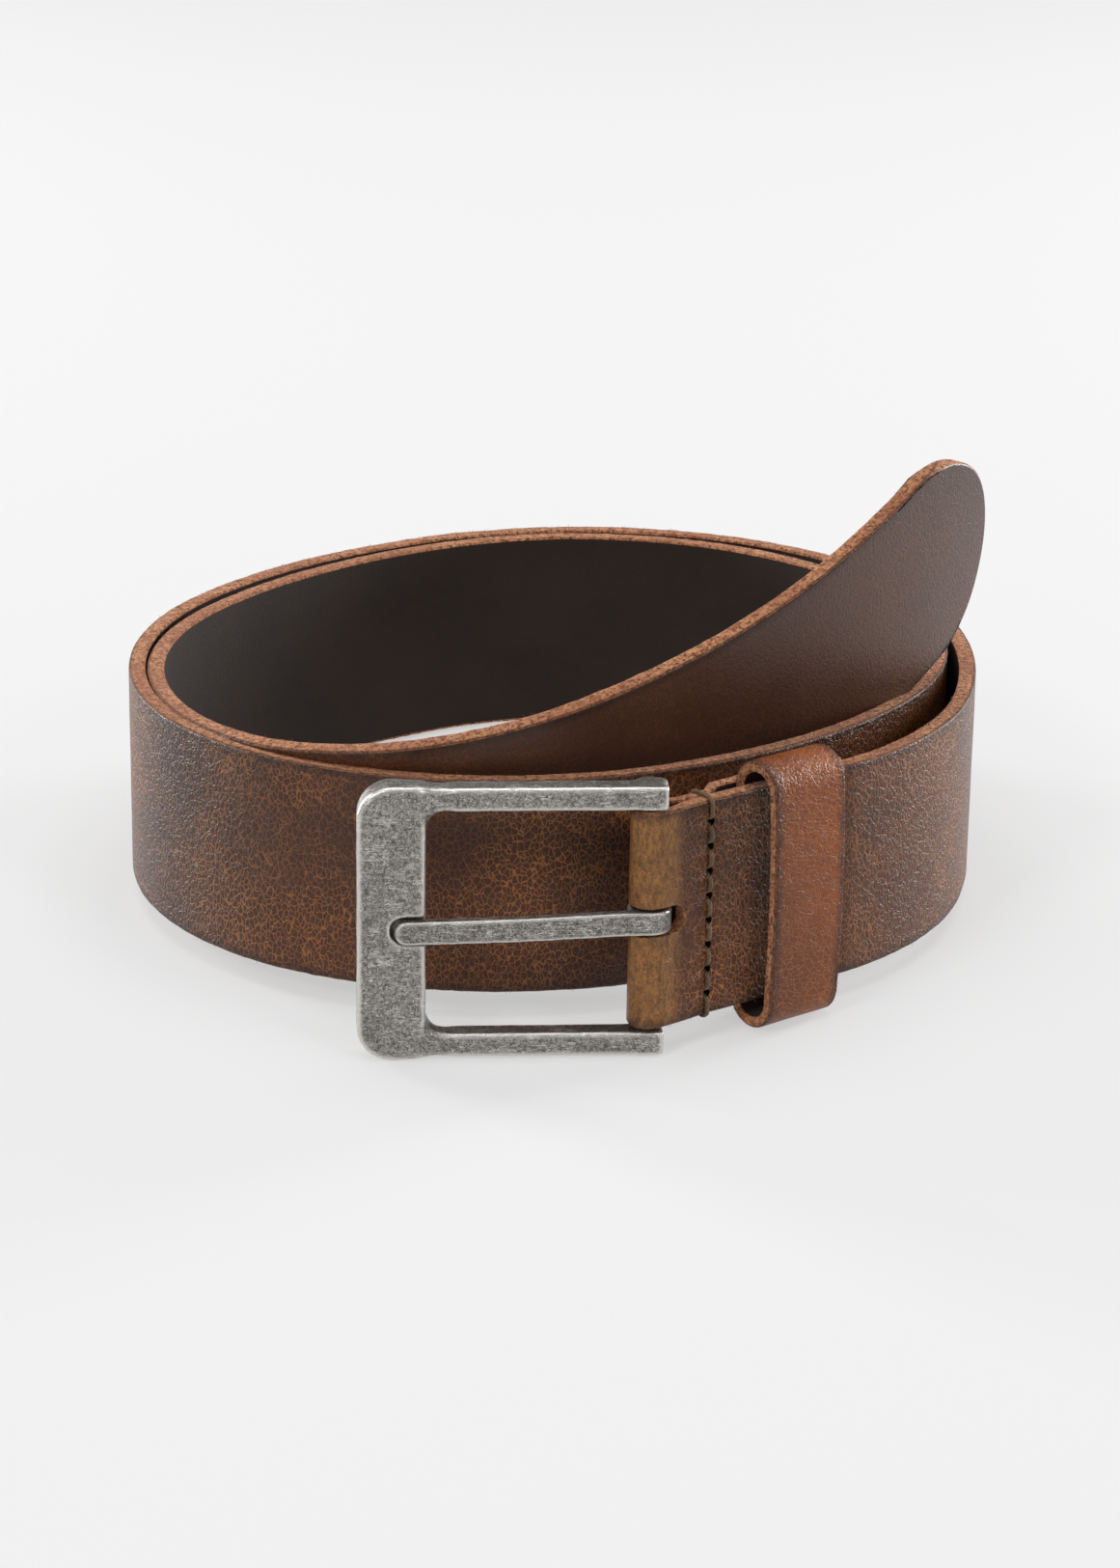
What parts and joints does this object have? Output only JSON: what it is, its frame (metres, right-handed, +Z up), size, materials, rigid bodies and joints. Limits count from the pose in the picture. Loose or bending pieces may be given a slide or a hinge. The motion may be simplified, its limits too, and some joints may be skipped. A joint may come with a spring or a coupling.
{
  "type": "leather belt",
  "caption": "Coiled leather belt with a rounded tip rising from the coil, a rectangular metal prong buckle, punched adjustment holes and a leather keeper loop.",
  "frame": {"origin": "middle of the coiled belt's footprint, on the surface it stands on", "axes": "+Z up; -Y towards the buckle, at the front; +X to the buckle's bar and keeper side"},
  "size_m": [0.1614, 0.1794, 0.0872],
  "materials": {
    "strap_leather": "waxed full grain, raw cut edges",
    "keeper_leather": "waxed, tan",
    "staple_wire": "plain",
    "buckle_metal": "antique pewter, burnished edges",
    "bar_steel": "plain drawn",
    "prong_metal": "antique pewter, brushed along its length",
    "thread": "waxed polyester thread"
  },
  "bodies": {
    "strap": {"strap": "strap_leather", "front_needle_thread": "thread", "front_bobbin_thread": "thread", "rear_needle_thread": "thread", "rear_bobbin_thread": "thread"},
    "keeper": {"keeper_loop": "keeper_leather", "keeper_staple": "staple_wire"},
    "buckle": {"buckle_frame": "buckle_metal", "buckle_bar": "bar_steel"},
    "prong": {"prong": "prong_metal"}
  },
  "joints": [
    {"name": "buckle_swing", "type": "hinge", "parent": "strap", "child": "buckle", "pos_m": [0.01688, -0.08232, 0.02516], "axis": [0, 0.0305, 0.9995], "range_deg": [-10, 50]},
    {"name": "prong_pivot", "type": "hinge", "parent": "buckle", "child": "prong", "pos_m": [0.01688, -0.08232, 0.02516], "axis": [0, 0.0305, 0.9995], "range_deg": [0, 80]},
    {"name": "keeper_slide", "type": "slide", "parent": "strap", "child": "keeper", "axis": [-0.7826, -0.6222, 0.019], "range_m": [0, 0.003]}
  ]
}
